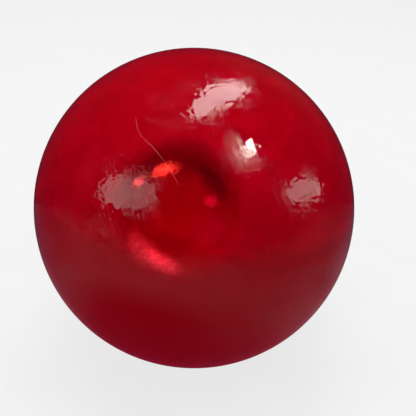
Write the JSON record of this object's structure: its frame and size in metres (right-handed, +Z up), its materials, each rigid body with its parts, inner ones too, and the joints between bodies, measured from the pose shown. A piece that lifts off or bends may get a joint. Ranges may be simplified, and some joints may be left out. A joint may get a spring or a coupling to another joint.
{
  "type": "drilled tenpin bowling ball",
  "caption": "Drilled tenpin bowling ball with a clear red cover over a dished core and weight block, finger inserts and a twist-lock thumb slug.",
  "frame": {"origin": "centre of the ball", "axes": "+Z up as the ball lies at rest, and -Y towards the side with the core's dish; the grip is on the +Y side"},
  "size_m": [0.217, 0.217, 0.217],
  "materials": {
    "clear_red_cover": "polished, translucent",
    "core_filler": "cast, dull",
    "weight_block": "cast, dull",
    "pin": "cast, dull",
    "soft_insert": "moulded, satin",
    "sleeve": "turned, satin",
    "pad": "moulded, dull",
    "slug": "turned, satin"
  },
  "bodies": {
    "ball": {"coverstock": "clear_red_cover", "outer_core": "core_filler", "weight_block": "weight_block", "locator_pin": "pin", "middle_finger_insert": "soft_insert", "ring_finger_insert": "soft_insert", "thumb_sleeve": "sleeve", "thumb_pad": "pad"},
    "slug": {"thumb_slug": "slug"}
  },
  "joints": [
    {"name": "thumb_slug_turn", "type": "hinge", "parent": "ball", "child": "slug", "pos_m": [0.0074, 0.10602, 0.02185], "axis": [0.0682, 0.9771, 0.2014], "range_deg": [0, 60]}
  ]
}
